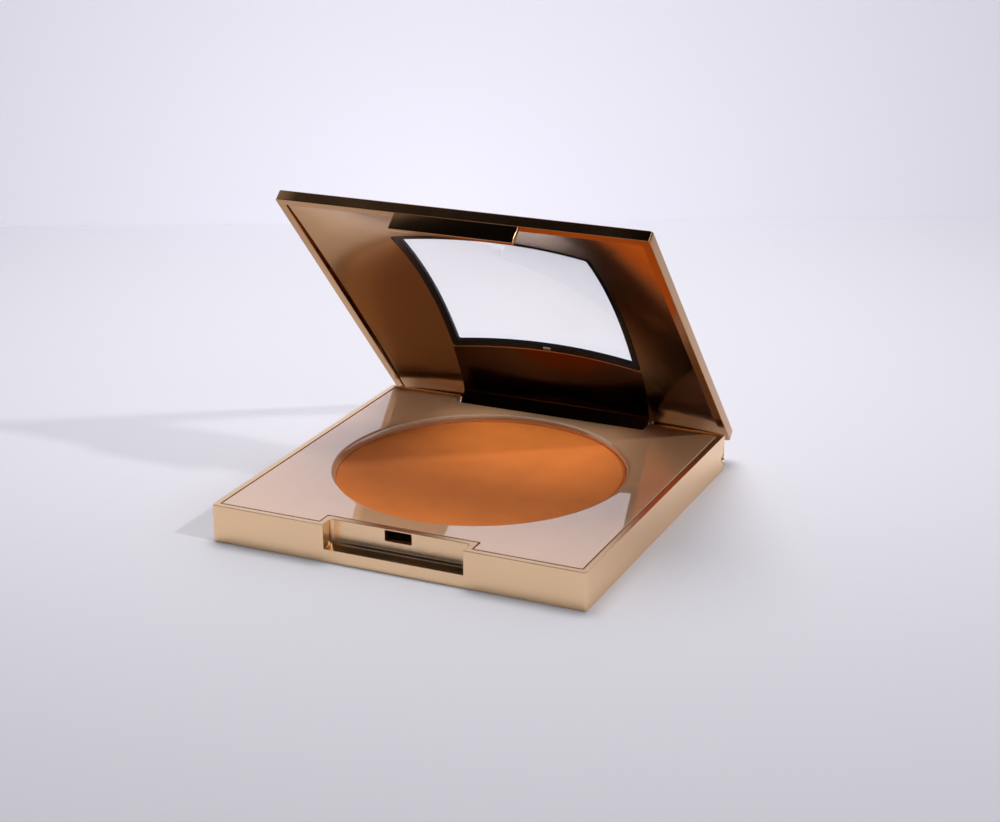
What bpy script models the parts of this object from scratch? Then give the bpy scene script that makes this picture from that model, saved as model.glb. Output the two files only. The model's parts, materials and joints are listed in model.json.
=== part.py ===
"""Square powder compact: a shallow base with a round pan of pressed powder,
and a pillow-domed lid with a clear square window, hinged along the rear edge.

The lid is modelled closed and its parent empty, on the hinge pin axis, holds it
open. Lengths are in metres. +Z is up, +Y runs towards the hinge, and the origin
is the centre of the base's underside.
"""

import math

import bmesh
import bpy
from mathutils import Matrix, Vector

MM = 0.001

# ------------------------------------------------------------ driving dimensions
CASE_WIDTH = 78.0 * MM          # along X
CASE_DEPTH = 75.0 * MM          # along Y
BASE_HEIGHT = 7.6 * MM
WALL = 1.2 * MM                 # side walls, and the rim strip round the deck
FLOOR = 1.2 * MM
GAP = 0.3 * MM                  # clearance between neighbouring pieces
CORNER_RADIUS = 0.6 * MM        # vertical corners of the case
EDGE_BEVEL = 0.2 * MM

PAN_DIAMETER = 59.0 * MM        # a standard round godet
PAN_HEIGHT = 3.8 * MM
PAN_WALL = 0.35 * MM
WELL_CENTRE_Y = 1.2 * MM        # the well sits slightly towards the hinge
LIP_OVERHANG = 0.1 * MM         # the deck's lip reaches this far over the pan's rim
POWDER_DROP = 1.4 * MM          # powder surface below the deck
PAD_DIAMETER = 30.0 * MM
PAD_THICKNESS = 0.4 * MM

DECK_THICKNESS = 1.0 * MM
LIP_RADIUS = 1.3 * MM           # rolled edge of the deck's opening
LIP_EDGE = 0.6 * MM             # thickness of the lip where it ends

NOTCH_HALF_WIDTH = 14.6 * MM    # finger notch in the front wall
NOTCH_DEPTH = 3.2 * MM
NOTCH_FLOOR = 2.7 * MM          # height of the notch's floor
SLOT_SIZE = (5.6 * MM, 2.1 * MM)    # catch slot, width and height
SLOT_HEIGHT = 6.2 * MM          # height of the slot's middle

PIN_DIAMETER = 1.2 * MM
PIN_Y = 35.95 * MM              # hinge axis
PIN_Z = 2.75 * MM
PIN_INNER_END = 14.0 * MM       # distance from the middle to a pin's inner end
PIN_RECESS = 0.7 * MM           # pin end below the side wall's face
HINGE_NOTCH_HALF_WIDTH = 22.2 * MM
HINGE_NOTCH_FRONT = 33.2 * MM   # Y of the notch's front edge
HINGE_NOTCH_FLOOR = 1.0 * MM
KNUCKLE_HALF_WIDTH = 21.7 * MM
KNUCKLE_FRONT = 33.6 * MM       # Y of the knuckle's front face
KNUCKLE_RADIUS = 1.4 * MM
KNUCKLE_SWEEP = 4.4 * MM        # how far the knuckle's hollow front runs up the dome

LID_OPEN_DEG = 48.4
LID_RIM = BASE_HEIGHT + GAP     # underside of the lid's rim when closed
LID_EDGE = 2.3 * MM             # lid's height at its edge
LID_RISE = 8.6 * MM             # further height at the middle of the dome
INNER_RISE = 8.5 * MM
COVER_THICKNESS = 0.7 * MM
LINER_THICKNESS = 0.6 * MM
LINER_RIM = 0.8 * MM            # width of the liner's flat edge
DOME_CELLS = 16                 # facets across the dome

WINDOW_HALF = (20.0 * MM, 19.4 * MM)    # clear opening of the window
BEZEL_WIDTH = 2.4 * MM
LENS_OVERLAP = 1.6 * MM         # how far the lens reaches under the bezel

TAB_HALF_WIDTH = 13.0 * MM
TAB_DROP = 3.6 * MM             # tab below the lid's rim
TAB_THICKNESS = 1.0 * MM
TAB_SETBACK = 0.15 * MM         # tab behind the lid's front face
NUB_SIZE = (4.4 * MM, 1.7 * MM, 1.2 * MM)

LABEL_SIZE = (44.0 * MM, 18.0 * MM)
LABEL_CENTRE_Y = 20.0 * MM
LABEL_THICKNESS = 0.1 * MM
LABEL_RECESS = 0.4 * MM

POST_RADIUS = 1.4 * MM
POST_PLACES = ((34.0 * MM, 29.5 * MM), (34.0 * MM, -32.5 * MM))
SEAT_HEIGHT = 1.0 * MM          # locating ring round the pan
SEAT_WIDTH = 0.8 * MM

# ----------------------------------------------------------------- derived sizes
HALF_W = CASE_WIDTH / 2
HALF_D = CASE_DEPTH / 2
PAN_RADIUS = PAN_DIAMETER / 2
WELL_RADIUS = PAN_RADIUS - LIP_OVERHANG
DECK_UNDERSIDE = BASE_HEIGHT - DECK_THICKNESS
NOTCH_BACK = -HALF_D + NOTCH_DEPTH
PAD_BOTTOM = FLOOR + GAP
PAN_BOTTOM = PAD_BOTTOM + PAD_THICKNESS + GAP
LID_INNER_EDGE = LID_EDGE - COVER_THICKNESS
LINER_TOP_EDGE = LID_INNER_EDGE - GAP
LINER_INNER_EDGE = LINER_TOP_EDGE - LINER_THICKNESS
OVERSHOOT = 5.0 * MM            # how far a cutter runs past what it cuts
SEAM_MARGIN = 0.05 * MM         # overlap left where two joined shapes meet
ROUND_STEPS = 72


# ----------------------------------------------------------------------- helpers
def clear_scene():
    for item in list(bpy.data.objects):
        bpy.data.objects.remove(item, do_unlink=True)


def make_collection(name):
    collection = bpy.data.collections.new(name)
    bpy.context.scene.collection.children.link(collection)
    return collection


def material(name, colour, roughness, metallic=0.0, transmission=0.0):
    """A Principled material with one flat colour."""
    mat = bpy.data.materials.new(name)
    mat.use_nodes = True
    shader = mat.node_tree.nodes["Principled BSDF"]
    shader.inputs["Base Color"].default_value = (*colour, 1.0)
    shader.inputs["Roughness"].default_value = roughness
    shader.inputs["Metallic"].default_value = metallic
    shader.inputs["Transmission Weight"].default_value = transmission
    return mat


def add_object(name, bm, collection, mat=None):
    """Turn a bmesh into an object, shaded smooth across shallow angles."""
    mesh = bpy.data.meshes.new(name)
    bm.to_mesh(mesh)
    bm.free()
    mesh.shade_smooth()
    mesh.set_sharp_from_angle(angle=math.radians(32))
    obj = bpy.data.objects.new(name, mesh)
    collection.objects.link(obj)
    if mat:
        mesh.materials.append(mat)
    return obj


def box_mesh(low, high):
    """A box between two corners."""
    low, high = Vector(low), Vector(high)
    size = high - low
    place = Matrix.Translation((low + high) / 2) @ Matrix.Diagonal((*size, 1.0))
    bm = bmesh.new()
    bmesh.ops.create_cube(bm, size=1.0, matrix=place)
    return bm


def round_upright_edges(bm, radius, steps=3):
    """Round the four upright edges of a box."""
    upright = [e for e in bm.edges
               if abs(e.verts[0].co.z - e.verts[1].co.z) > radius
               and (e.verts[0].co - e.verts[1].co).xy.length < 1e-7]
    bmesh.ops.bevel(bm, geom=upright, offset=radius, offset_type="OFFSET",
                    segments=steps, profile=0.5, affect="EDGES")


def rod_mesh(radius, start, end, steps=24):
    """A round rod along X between two X positions, on the X axis."""
    place = (Matrix.Translation(((start + end) / 2, 0, 0))
             @ Matrix.Rotation(math.pi / 2, 4, "Y"))
    bm = bmesh.new()
    bmesh.ops.create_cone(bm, cap_ends=True, segments=steps, radius1=radius,
                          radius2=radius, depth=abs(end - start), matrix=place)
    return bm


def disc_mesh(radius, bottom, top, steps=ROUND_STEPS):
    """A round plate or post standing on Z."""
    bm = bmesh.new()
    bmesh.ops.create_cone(bm, cap_ends=True, segments=steps, radius1=radius,
                          radius2=radius, depth=top - bottom,
                          matrix=Matrix.Translation((0, 0, (bottom + top) / 2)))
    return bm


def turned(name, profile, closed, collection, mat=None, steps=ROUND_STEPS):
    """Turn a profile of (radius, height) points about Z. An open profile runs
    from the axis at the top, down the outer side, to the axis at the bottom."""
    bm = bmesh.new()
    verts = [bm.verts.new((r, 0, z)) for r, z in profile]
    for a, b in zip(verts, verts[1:]):
        bm.edges.new((a, b))
    if closed:
        bm.edges.new((verts[-1], verts[0]))
    obj = add_object(name, bm, collection, mat)
    screw = obj.modifiers.new("turn", "SCREW")
    screw.steps = screw.render_steps = steps
    screw.use_merge_vertices = True
    screw.merge_threshold = 1e-6
    return obj


def arc(centre, radius, start_deg, end_deg, steps):
    """Points on an arc, both ends included."""
    angles = [math.radians(start_deg + (end_deg - start_deg) * i / steps)
              for i in range(steps + 1)]
    return [(centre[0] + radius * math.cos(a), centre[1] + radius * math.sin(a))
            for a in angles]


def pillow(x, y):
    """1 at the middle of the lid, falling to 0 along all four edges."""
    return (1 - (x / HALF_W) ** 2) * (1 - (y / HALF_D) ** 2)


def dome(edge, rise):
    """Height of a domed surface: `edge` above the rim plane along the lid's
    edge, and `rise` more in the middle."""
    return lambda x, y: LID_RIM + edge + rise * pillow(x, y)


def level(height):
    """Height of a flat surface."""
    return lambda x, y: height


def stretch(t, split, inner, outer):
    """Map -1..1 so that -split..split fills the inner span."""
    size = abs(t)
    if size <= split:
        return t / split * inner
    return math.copysign(inner + (size - split) / (1 - split) * (outer - inner), t)


def slab_mesh(half, top, bottom, hole=(0.0, 0.0), cells=DOME_CELLS):
    """A square slab between two surfaces, with an optional square hole. `half`
    and `hole` are half sizes, and grid lines lie along the hole's edges."""
    split = 0.5
    bm = bmesh.new()
    bmesh.ops.create_grid(bm, x_segments=cells, y_segments=cells, size=1.0)
    if hole[0] > 0:
        inside = [f for f in bm.faces
                  if max(abs(f.calc_center_median().x), abs(f.calc_center_median().y)) < split]
        bmesh.ops.delete(bm, geom=inside, context="FACES")
    inner = hole if hole[0] > 0 else (half[0] * split, half[1] * split)
    for vert in bm.verts:
        vert.co.x = stretch(vert.co.x, split, inner[0], half[0])
        vert.co.y = stretch(vert.co.y, split, inner[1], half[1])
    upper = bm.verts[:]
    grown = bmesh.ops.extrude_face_region(bm, geom=bm.faces[:])
    lower = [v for v in grown["geom"] if isinstance(v, bmesh.types.BMVert)]
    for verts, surface in ((upper, top), (lower, bottom)):
        for vert in verts:
            vert.co.z = surface(vert.co.x, vert.co.y)
    bmesh.ops.recalc_face_normals(bm, faces=bm.faces[:])
    return bm


def bevel_edges(obj, width, segments=2, angle_deg=50):
    bevel = obj.modifiers.new("edges", "BEVEL")
    bevel.width = width
    bevel.segments = segments
    bevel.limit_method = "ANGLE"
    bevel.angle_limit = math.radians(angle_deg)


def apply_boolean(obj, tool, operation):
    """Cut, join or intersect with a tool that isn't part of the model."""
    tool.hide_render = True
    tool.display_type = "WIRE"
    boolean = obj.modifiers.new(tool.name, "BOOLEAN")
    boolean.operation = operation
    boolean.solver = "EXACT"
    boolean.object = tool


# -------------------------------------------------------------------------- base
def build_base_shell(parts, tools, mat):
    """Outer tray with the finger notch, the hinge lugs and the deck's posts."""
    bm = box_mesh((-HALF_W, -HALF_D, 0), (HALF_W, HALF_D, BASE_HEIGHT))
    round_upright_edges(bm, CORNER_RADIUS)
    shell = add_object("base_shell", bm, parts, mat)
    bevel_edges(shell, EDGE_BEVEL, segments=1)

    inner_x, inner_y = HALF_W - WALL, HALF_D - WALL
    hollow = add_object("hollow_tool", box_mesh(
        (-inner_x, -inner_y, FLOOR), (inner_x, inner_y, BASE_HEIGHT + OVERSHOOT)), tools)

    housing_back = NOTCH_BACK + WALL
    housing_half = NOTCH_HALF_WIDTH + WALL
    housing = add_object("notch_housing_tool", box_mesh(
        (-housing_half, -HALF_D, 0), (housing_half, housing_back, BASE_HEIGHT + 2 * OVERSHOOT)),
        tools)
    apply_boolean(hollow, housing, "DIFFERENCE")

    lug_top = DECK_UNDERSIDE - GAP
    lugs = add_object("lug_tool", box_mesh(
        (-HALF_W, HINGE_NOTCH_FRONT, 0), (HALF_W, HALF_D, lug_top)), tools)
    apply_boolean(hollow, lugs, "DIFFERENCE")

    for index, (x, y) in enumerate(POST_PLACES):
        for side in (-1, 1):
            post = add_object(f"post_tool_{index}_{'r' if side > 0 else 'l'}",
                              disc_mesh(POST_RADIUS, 0, lug_top, steps=20), tools)
            post.location = (side * x, y, 0)
            apply_boolean(hollow, post, "DIFFERENCE")

    seat_inner = PAN_RADIUS + GAP
    seat = turned("seat_tool", [
        (seat_inner, FLOOR + SEAT_HEIGHT), (seat_inner + SEAT_WIDTH, FLOOR + SEAT_HEIGHT),
        (seat_inner + SEAT_WIDTH, FLOOR / 2), (seat_inner, FLOOR / 2)], True, tools)
    seat.location.y = WELL_CENTRE_Y
    apply_boolean(hollow, seat, "DIFFERENCE")
    apply_boolean(shell, hollow, "DIFFERENCE")

    bm = box_mesh((-NOTCH_HALF_WIDTH, -HALF_D - OVERSHOOT, NOTCH_FLOOR),
                  (NOTCH_HALF_WIDTH, NOTCH_BACK, BASE_HEIGHT + OVERSHOOT))
    inner_edges = [e for e in bm.edges if all(v.co.y > -HALF_D for v in e.verts)]
    bmesh.ops.bevel(bm, geom=inner_edges, offset=CORNER_RADIUS, offset_type="OFFSET",
                    segments=3, profile=0.5, affect="EDGES")
    notch = add_object("finger_notch_tool", bm, tools)
    apply_boolean(shell, notch, "DIFFERENCE")

    slot = add_object("catch_slot_tool", box_mesh(
        (-SLOT_SIZE[0] / 2, NOTCH_BACK - WALL / 2, SLOT_HEIGHT - SLOT_SIZE[1] / 2),
        (SLOT_SIZE[0] / 2, housing_back + WALL, SLOT_HEIGHT + SLOT_SIZE[1] / 2)), tools)
    apply_boolean(shell, slot, "DIFFERENCE")

    hinge_notch = add_object("hinge_notch_tool", box_mesh(
        (-HINGE_NOTCH_HALF_WIDTH, HINGE_NOTCH_FRONT - 2 * WALL, HINGE_NOTCH_FLOOR),
        (HINGE_NOTCH_HALF_WIDTH, HALF_D + OVERSHOOT, BASE_HEIGHT + OVERSHOOT)), tools)
    apply_boolean(shell, hinge_notch, "DIFFERENCE")

    bore = add_object("pin_bore_tool", rod_mesh(
        PIN_DIAMETER / 2 + GAP, -HALF_W - OVERSHOOT, HALF_W + OVERSHOOT), tools)
    bore.location = (0, PIN_Y, PIN_Z)
    apply_boolean(shell, bore, "DIFFERENCE")

    label = add_object("label_recess_tool", box_mesh(
        (-LABEL_SIZE[0] / 2 - GAP, LABEL_CENTRE_Y - LABEL_SIZE[1] / 2 - GAP, -OVERSHOOT),
        (LABEL_SIZE[0] / 2 + GAP, LABEL_CENTRE_Y + LABEL_SIZE[1] / 2 + GAP, LABEL_RECESS)),
        tools)
    apply_boolean(shell, label, "DIFFERENCE")


def build_base_label(parts, mat):
    """Blank paper label in its recess in the underside."""
    bottom = LABEL_THICKNESS / 5
    add_object("base_label", box_mesh(
        (-LABEL_SIZE[0] / 2, LABEL_CENTRE_Y - LABEL_SIZE[1] / 2, bottom),
        (LABEL_SIZE[0] / 2, LABEL_CENTRE_Y + LABEL_SIZE[1] / 2, bottom + LABEL_THICKNESS)),
        parts, mat)


def build_deck(parts, tools, mat):
    """Mirror-finish panel set in the base's rim, with a rolled round opening."""
    edge_x, edge_y = HALF_W - WALL - GAP, HALF_D - WALL - GAP
    deck = add_object("deck_panel", box_mesh(
        (-edge_x, -edge_y, DECK_UNDERSIDE), (edge_x, edge_y, BASE_HEIGHT)), parts, mat)

    notch_half = NOTCH_HALF_WIDTH + WALL + GAP
    notch = add_object("deck_front_tool", box_mesh(
        (-notch_half, -HALF_D, 0), (notch_half, NOTCH_BACK + WALL + GAP, BASE_HEIGHT + OVERSHOOT)),
        tools)
    apply_boolean(deck, notch, "DIFFERENCE")

    hinge_half = HINGE_NOTCH_HALF_WIDTH
    hinge = add_object("deck_rear_tool", box_mesh(
        (-hinge_half, HINGE_NOTCH_FRONT, 0), (hinge_half, HALF_D, BASE_HEIGHT + OVERSHOOT)), tools)
    apply_boolean(deck, hinge, "DIFFERENCE")

    lip_top = WELL_RADIUS + LIP_RADIUS
    lip_outer = lip_top + LIP_RADIUS
    hole = add_object("deck_hole_tool", disc_mesh(
        (lip_top + lip_outer) / 2, 0, BASE_HEIGHT + OVERSHOOT), tools)
    hole.location.y = WELL_CENTRE_Y
    apply_boolean(deck, hole, "DIFFERENCE")

    lip_bottom = BASE_HEIGHT - LIP_RADIUS
    lip_profile = arc((lip_top, lip_bottom), LIP_RADIUS, 180, 90, 6)
    lip_profile += [(lip_outer, BASE_HEIGHT), (lip_outer, DECK_UNDERSIDE),
                    (lip_top, DECK_UNDERSIDE), (WELL_RADIUS + LIP_EDGE, lip_bottom)]
    lip = turned("deck_lip_tool", lip_profile, True, tools)
    lip.location.y = WELL_CENTRE_Y
    apply_boolean(deck, lip, "UNION")


def build_pan(parts, mat):
    """Pressed tin pan, open at the top."""
    top = PAN_BOTTOM + PAN_HEIGHT
    inside = PAN_RADIUS - PAN_WALL
    pan = turned("powder_pan", [
        (0, PAN_BOTTOM + PAN_WALL), (inside - PAN_WALL, PAN_BOTTOM + PAN_WALL),
        (inside, PAN_BOTTOM + 2 * PAN_WALL), (inside, top), (PAN_RADIUS, top),
        (PAN_RADIUS, PAN_BOTTOM + PAN_WALL), (PAN_RADIUS - PAN_WALL, PAN_BOTTOM),
        (0, PAN_BOTTOM)], False, parts, mat)
    pan.location.y = WELL_CENTRE_Y


def build_powder(parts, mat):
    """Cake of pressed powder, with a softly rounded upper edge."""
    radius = PAN_RADIUS - PAN_WALL - GAP
    bottom = PAN_BOTTOM + PAN_WALL + GAP
    top = BASE_HEIGHT - POWDER_DROP
    edge = 0.3 * MM
    cake = turned("powder_cake", [
        (0, top), (radius - edge, top), (radius, top - edge), (radius, bottom + 2 * edge),
        (radius - 2 * edge, bottom), (0, bottom)], False, parts, mat)
    cake.location.y = WELL_CENTRE_Y


def build_pan_pad(parts, mat):
    """Adhesive foam disc that holds the pan to the floor."""
    pad = add_object("pan_adhesive_pad", disc_mesh(
        PAD_DIAMETER / 2, PAD_BOTTOM, PAD_BOTTOM + PAD_THICKNESS, steps=48), parts, mat)
    pad.location.y = WELL_CENTRE_Y


def build_hinge_pins(parts, mat):
    """One steel pin from each side wall into the lid's knuckle."""
    for side, name in ((-1, "hinge_pin_left"), (1, "hinge_pin_right")):
        outer = side * (HALF_W - PIN_RECESS)
        pin = add_object(name, rod_mesh(
            PIN_DIAMETER / 2, *sorted((outer, side * PIN_INNER_END)), steps=20), parts, mat)
        pin.location = (0, PIN_Y, PIN_Z)


# --------------------------------------------------------------------------- lid
def add_lid_object(name, bm, collection, hinge, mat=None):
    """Place a piece that is drawn in the closed position on the hinge empty."""
    obj = add_object(name, bm, collection, mat)
    obj.parent = hinge
    obj.location = (0, -PIN_Y, -PIN_Z)
    return obj


def around_window(margin):
    """Half sizes of a square that clears the window by a margin."""
    return WINDOW_HALF[0] + margin, WINDOW_HALF[1] + margin


def build_lid_cover(parts, tools, hinge, mat):
    """Outer lid: domed skin, upright edge, window opening, tab and catch nub."""
    outer = dome(LID_EDGE, LID_RISE)
    cover = add_lid_object("lid_cover", slab_mesh(
        (HALF_W, HALF_D), outer, level(LID_RIM), hole=around_window(LENS_OVERLAP + GAP)),
        parts, hinge, mat)
    bevel_edges(cover, EDGE_BEVEL)

    hollow = add_lid_object("cover_hollow_tool", slab_mesh(
        (HALF_W - WALL, HALF_D - WALL), dome(LID_INNER_EDGE, INNER_RISE),
        level(LID_RIM - OVERSHOOT)), tools, hinge)
    apply_boolean(cover, hollow, "DIFFERENCE")

    rear_half = KNUCKLE_HALF_WIDTH + GAP
    rear = add_lid_object("cover_rear_tool", box_mesh(
        (-rear_half, HALF_D - 2 * WALL, LID_RIM - OVERSHOOT),
        (rear_half, HALF_D + OVERSHOOT, LID_RIM + LID_INNER_EDGE)), tools, hinge)
    apply_boolean(cover, rear, "DIFFERENCE")

    front = -HALF_D + TAB_SETBACK
    bm = box_mesh((-TAB_HALF_WIDTH, front, LID_RIM - TAB_DROP),
                  (TAB_HALF_WIDTH, front + TAB_THICKNESS, LID_RIM + LID_EDGE / 2))
    lower_edges = [e for e in bm.edges if any(v.co.z < LID_RIM for v in e.verts)]
    bmesh.ops.bevel(bm, geom=lower_edges, offset=EDGE_BEVEL, offset_type="OFFSET",
                    segments=2, profile=0.5, affect="EDGES")
    tab = add_lid_object("tab_tool", bm, tools, hinge)
    apply_boolean(cover, tab, "UNION")

    width, length, height = NUB_SIZE
    nub_low = (-width / 2, front + TAB_THICKNESS / 2, SLOT_HEIGHT - height / 2)
    nub_high = (width / 2, front + TAB_THICKNESS + length, SLOT_HEIGHT + height / 2)
    nub = add_lid_object("nub_tool", box_mesh(nub_low, nub_high), tools, hinge)
    apply_boolean(cover, nub, "UNION")


def knuckle_mesh(liner_rear, cells=10):
    """Hinge block: a barrel round the pin, and a front that sweeps up in a
    hollow curve into the dome. Each point of the outline is (y, z, follow):
    where follow is 1 the point lies within the liner's domed skin."""
    skin = dome(LINER_INNER_EDGE + LINER_THICKNESS / 2, INNER_RISE)
    seat = LID_RIM + LINER_TOP_EDGE
    outline = [(PIN_Y + KNUCKLE_RADIUS, seat, 0)]
    outline += [(y, z, 0) for y, z in arc((PIN_Y, PIN_Z), KNUCKLE_RADIUS, 0, -135, 6)]
    outline += [(KNUCKLE_FRONT, PIN_Z + KNUCKLE_RADIUS / 2, 0), (KNUCKLE_FRONT, LID_RIM, 0)]
    for across, up in arc((0, 0), 1.0, 0, 90, 6)[1:]:
        outline.append((KNUCKLE_FRONT - KNUCKLE_SWEEP * (1 - across), LID_RIM, up))
    outline += [(KNUCKLE_FRONT - KNUCKLE_SWEEP / 2, 0, 1), (KNUCKLE_FRONT, 0, 1),
                (liner_rear, 0, 1), (liner_rear + SEAM_MARGIN, seat, 0)]

    bm = bmesh.new()
    left_end = bm.faces.new([bm.verts.new((-KNUCKLE_HALF_WIDTH, y, z)) for y, z, _ in outline])
    grown = bmesh.ops.extrude_face_region(bm, geom=[left_end])["geom"]
    moved = [item for item in grown if isinstance(item, bmesh.types.BMVert)]
    bmesh.ops.translate(bm, verts=moved, vec=(2 * KNUCKLE_HALF_WIDTH, 0, 0))
    for index in range(1, cells):
        x = KNUCKLE_HALF_WIDTH * (2 * index / cells - 1)
        bmesh.ops.bisect_plane(bm, geom=bm.verts[:] + bm.edges[:] + bm.faces[:],
                               plane_co=(x, 0, 0), plane_no=(1, 0, 0))
    for vert in bm.verts:
        _, z, follow = min(outline, key=lambda p: (p[0] - vert.co.y) ** 2 + (p[1] - vert.co.z) ** 2)
        vert.co.z = z * (1 - follow) + skin(vert.co.x, vert.co.y) * follow
    bmesh.ops.recalc_face_normals(bm, faces=bm.faces[:])
    return bm


def build_lid_liner(parts, tools, hinge, mat):
    """Inner lid: domed skin under the cover, with the hinge knuckle."""
    outer_x, outer_y = HALF_W - WALL - GAP, HALF_D - WALL - GAP
    liner = add_lid_object("lid_liner", slab_mesh(
        (outer_x, outer_y), dome(LINER_TOP_EDGE, INNER_RISE), level(LID_RIM),
        hole=around_window(BEZEL_WIDTH + GAP)), parts, hinge, mat)
    hollow = add_lid_object("liner_hollow_tool", slab_mesh(
        (outer_x - LINER_RIM, outer_y - LINER_RIM), dome(LINER_INNER_EDGE, INNER_RISE),
        level(LID_RIM - OVERSHOOT)), tools, hinge)
    apply_boolean(liner, hollow, "DIFFERENCE")

    knuckle = add_lid_object("knuckle_tool", knuckle_mesh(outer_y), tools, hinge)
    apply_boolean(liner, knuckle, "UNION")

    for side in (-1, 1):
        ends = sorted((side * (PIN_INNER_END - GAP), side * HALF_W))
        bore = add_object(f"knuckle_bore_tool_{'r' if side > 0 else 'l'}",
                          rod_mesh(PIN_DIAMETER / 2 + GAP, *ends), tools)
        bore.parent = hinge
        apply_boolean(liner, bore, "DIFFERENCE")


def build_window(parts, hinge, lens_mat, bezel_mat):
    """Clear domed pane, and the dark frame bonded round its inner face."""
    add_lid_object("window_lens", slab_mesh(
        around_window(LENS_OVERLAP), dome(LID_EDGE, LID_RISE),
        dome(LID_INNER_EDGE, INNER_RISE), cells=10), parts, hinge, lens_mat)
    add_lid_object("window_bezel", slab_mesh(
        around_window(BEZEL_WIDTH), dome(LINER_TOP_EDGE, INNER_RISE),
        dome(LINER_INNER_EDGE, INNER_RISE), hole=WINDOW_HALF, cells=12),
        parts, hinge, bezel_mat)


# ------------------------------------------------------------------------- build
clear_scene()
parts = make_collection("powder_compact")
tools = make_collection("cutting_tools")

satin_gold = material("satin_gold", (0.60, 0.42, 0.26), 0.32, metallic=0.9)
mirror_champagne = material("mirror_champagne", (0.78, 0.58, 0.47), 0.06, metallic=1.0)
gloss_bronze = material("gloss_bronze", (0.45, 0.27, 0.14), 0.15, metallic=0.9)
pressed_powder = material("pressed_powder", (0.56, 0.15, 0.04), 0.95)
tinplate = material("tinplate", (0.70, 0.70, 0.70), 0.30, metallic=1.0)
steel = material("pin_steel", (0.55, 0.55, 0.56), 0.35, metallic=1.0)
foam = material("pad_foam", (0.85, 0.85, 0.82), 0.80)
paper = material("label_paper", (0.90, 0.88, 0.84), 0.60)
clear = material("clear_acrylic", (1.0, 1.0, 1.0), 0.02, transmission=1.0)
black = material("bezel_black", (0.02, 0.018, 0.016), 0.25)

build_base_shell(parts, tools, satin_gold)
build_base_label(parts, paper)
build_deck(parts, tools, mirror_champagne)
build_pan(parts, tinplate)
build_powder(parts, pressed_powder)
build_pan_pad(parts, foam)
build_hinge_pins(parts, steel)

lid_hinge = bpy.data.objects.new("lid_hinge_axis", None)
parts.objects.link(lid_hinge)
lid_hinge.location = (0, PIN_Y, PIN_Z)
lid_hinge.rotation_euler.x = -math.radians(LID_OPEN_DEG)

build_lid_cover(parts, tools, lid_hinge, gloss_bronze)
build_lid_liner(parts, tools, lid_hinge, gloss_bronze)
build_window(parts, lid_hinge, clear, black)
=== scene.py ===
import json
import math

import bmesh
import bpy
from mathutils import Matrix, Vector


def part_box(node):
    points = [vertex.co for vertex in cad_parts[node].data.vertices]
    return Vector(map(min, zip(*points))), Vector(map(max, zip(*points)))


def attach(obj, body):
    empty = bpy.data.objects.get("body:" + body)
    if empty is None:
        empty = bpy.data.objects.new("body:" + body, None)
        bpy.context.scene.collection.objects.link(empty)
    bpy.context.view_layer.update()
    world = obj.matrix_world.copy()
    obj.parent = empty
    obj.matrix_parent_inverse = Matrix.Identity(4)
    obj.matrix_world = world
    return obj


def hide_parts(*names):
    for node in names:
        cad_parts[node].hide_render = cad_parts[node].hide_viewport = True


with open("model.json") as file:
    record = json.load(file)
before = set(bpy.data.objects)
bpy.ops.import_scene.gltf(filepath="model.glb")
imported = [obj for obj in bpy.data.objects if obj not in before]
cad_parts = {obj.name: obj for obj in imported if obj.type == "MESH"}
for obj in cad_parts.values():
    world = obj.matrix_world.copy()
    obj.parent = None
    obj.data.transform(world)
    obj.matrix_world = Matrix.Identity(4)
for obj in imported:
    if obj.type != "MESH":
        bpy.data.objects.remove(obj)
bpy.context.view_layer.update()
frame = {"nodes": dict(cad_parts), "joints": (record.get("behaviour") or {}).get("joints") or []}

# %% [markdown]
# # A square powder compact, standing open
#
# The compact has two halves. The base is a satin gold tray with a polished deck, and a round
# pan of pressed powder sits in the deck's opening. The lid is a thin pillow dome with a clear
# square window in a black frame. Two steel pins at the back let it swing.
#
# The measured frame is loaded first. Everything that follows is built around it, in metres,
# with +Z up and the hinge towards +Y.

MM = 0.001

# %% [markdown]
# ## Sizes
#
# The outer sizes come from the frame's own pieces. The finer ones, such as the radius of a
# rolled edge, belong to the looks and are written here. The lid is drawn closed, where its
# shape is easy to describe, and then turned open about the hinge pin.

# %% Sizes of the case
shell_low, shell_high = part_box("base_shell")
HALF_W, HALF_D, BASE_TOP = shell_high.x, shell_high.y, shell_high.z
WALL = 1.2 * MM                     # rim strip round the deck
CORNER = 0.6 * MM                   # radius of the upright corners
SEAM = 0.26 * MM                    # dark seam between deck and rim
print("case:", round(2 * HALF_W / MM, 1), "x", round(2 * HALF_D / MM, 1), "mm")

# %% Sizes of the powder well
pan_low, pan_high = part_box("powder_pan")
PAN_RADIUS = (pan_high.x - pan_low.x) / 2
PAN_Y = (pan_high.y + pan_low.y) / 2
LIP_RADIUS = 1.15 * MM              # rolled edge of the deck's opening
TIN = 0.35 * MM                     # sheet that the pan is drawn from
WELL_RADIUS = PAN_RADIUS - TIN - 0.02 * MM
POWDER_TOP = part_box("powder_cake")[1].z
print("pan radius", round(PAN_RADIUS / MM, 2), "mm, powder at", round(POWDER_TOP / MM, 2), "mm")

# %% The hinge
hinge = frame["joints"][0]
PIN = Vector(hinge["pos_m"])
OPEN_ANGLE = math.radians(-hinge["range_deg"][0])
open_lid = (Matrix.Translation(PIN) @ Matrix.Rotation(-OPEN_ANGLE, 4, "X")
            @ Matrix.Translation(-PIN))
print("the lid stands open by", round(math.degrees(OPEN_ANGLE), 1), "degrees")

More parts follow.
